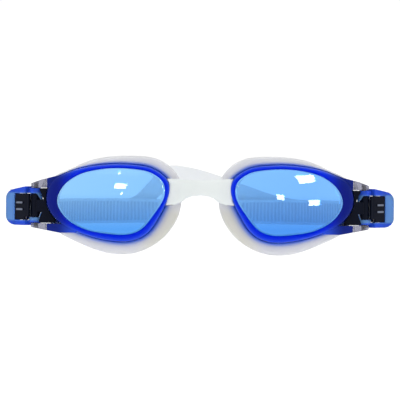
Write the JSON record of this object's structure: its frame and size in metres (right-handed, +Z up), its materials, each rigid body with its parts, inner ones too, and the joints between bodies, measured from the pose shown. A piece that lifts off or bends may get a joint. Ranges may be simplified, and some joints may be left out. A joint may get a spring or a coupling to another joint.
{
  "type": "swim goggles",
  "caption": "Swim goggles with blue curved lenses, soft silicone face seals, a flexible nose bridge, swivelling strap buckles with press levers and a ribbed head strap.",
  "frame": {"origin": "midway between the eyes, on the plane where the nose side of the face seal rests", "axes": "+X to the wearer's left, +Y back towards the face, +Z up; the lenses face -Y"},
  "size_m": [0.1636, 0.1458, 0.0411],
  "materials": {
    "lens_blue": "clear light-blue polycarbonate with a gloss surface",
    "frame_blue": "clear deep-blue moulded polycarbonate",
    "skirt_silicone": "translucent white silicone, satin",
    "black_plastic": "fine-grained black nylon",
    "clear_plastic": "clear polycarbonate with a smoky tint",
    "pin_steel": "turned stainless steel",
    "buckle_blue": "clear mid-blue moulded polycarbonate",
    "strap_silicone": "translucent white silicone with fine moulded ribs",
    "bridge_silicone": "satin white silicone"
  },
  "bodies": {
    "root": {"right_lens": "lens_blue", "right_frame": "frame_blue", "right_skirt": "skirt_silicone", "right_temple_block": "black_plastic", "right_upper_ear": "clear_plastic", "right_lower_ear": "clear_plastic", "right_swivel_pin": "pin_steel", "right_strap_turn": "strap_silicone", "right_strap_keeper": "strap_silicone", "nose_bridge": "bridge_silicone", "rear_strap": "strap_silicone", "right_strap_tail": "strap_silicone", "left_strap_tail": "strap_silicone"},
    "left_eyecup": {"left_lens": "lens_blue", "left_frame": "frame_blue", "left_skirt": "skirt_silicone", "left_temple_block": "black_plastic", "left_upper_ear": "clear_plastic", "left_lower_ear": "clear_plastic", "left_swivel_pin": "pin_steel", "left_strap_turn": "strap_silicone", "left_strap_keeper": "strap_silicone"},
    "right_buckle_body": {"right_buckle": "buckle_blue", "right_pivot_barrel": "black_plastic", "right_lever_pin": "pin_steel", "right_strap_bar": "pin_steel"},
    "left_buckle_body": {"left_buckle": "buckle_blue", "left_pivot_barrel": "black_plastic", "left_lever_pin": "pin_steel", "left_strap_bar": "pin_steel"},
    "right_lever_body": {"right_release_lever": "black_plastic"},
    "left_lever_body": {"left_release_lever": "black_plastic"}
  },
  "joints": [
    {"name": "nose_bridge_flex", "type": "hinge", "parent": "root", "child": "left_eyecup", "pos_m": [0, -0.0167, 0], "axis": [0, 0, 1], "range_deg": [-8, 15], "stiffness_Nm_per_rad": 0.15, "deforming": ["nose_bridge", "rear_strap", "left_strap_tail"]},
    {"name": "right_buckle_swivel", "type": "hinge", "parent": "root", "child": "right_buckle_body", "pos_m": [-0.068, -0.001, 0], "axis": [0, 0, -1], "range_deg": [-10, 15], "deforming": ["right_strap_turn"]},
    {"name": "right_lever_press", "type": "hinge", "parent": "right_buckle_body", "child": "right_lever_body", "pos_m": [-0.07238, 0.00013, 0], "axis": [0, 0, -1], "range_deg": [0, 6], "stiffness_Nm_per_rad": 0.05, "springref_deg": -2.86},
    {"name": "left_buckle_swivel", "type": "hinge", "parent": "left_eyecup", "child": "left_buckle_body", "pos_m": [0.068, -0.001, 0], "axis": [0, 0, 1], "range_deg": [-10, 15], "deforming": ["left_strap_turn"]},
    {"name": "left_lever_press", "type": "hinge", "parent": "left_buckle_body", "child": "left_lever_body", "pos_m": [0.07238, 0.00013, 0], "axis": [0, 0, 1], "range_deg": [0, 6], "stiffness_Nm_per_rad": 0.05, "springref_deg": -2.86}
  ]
}
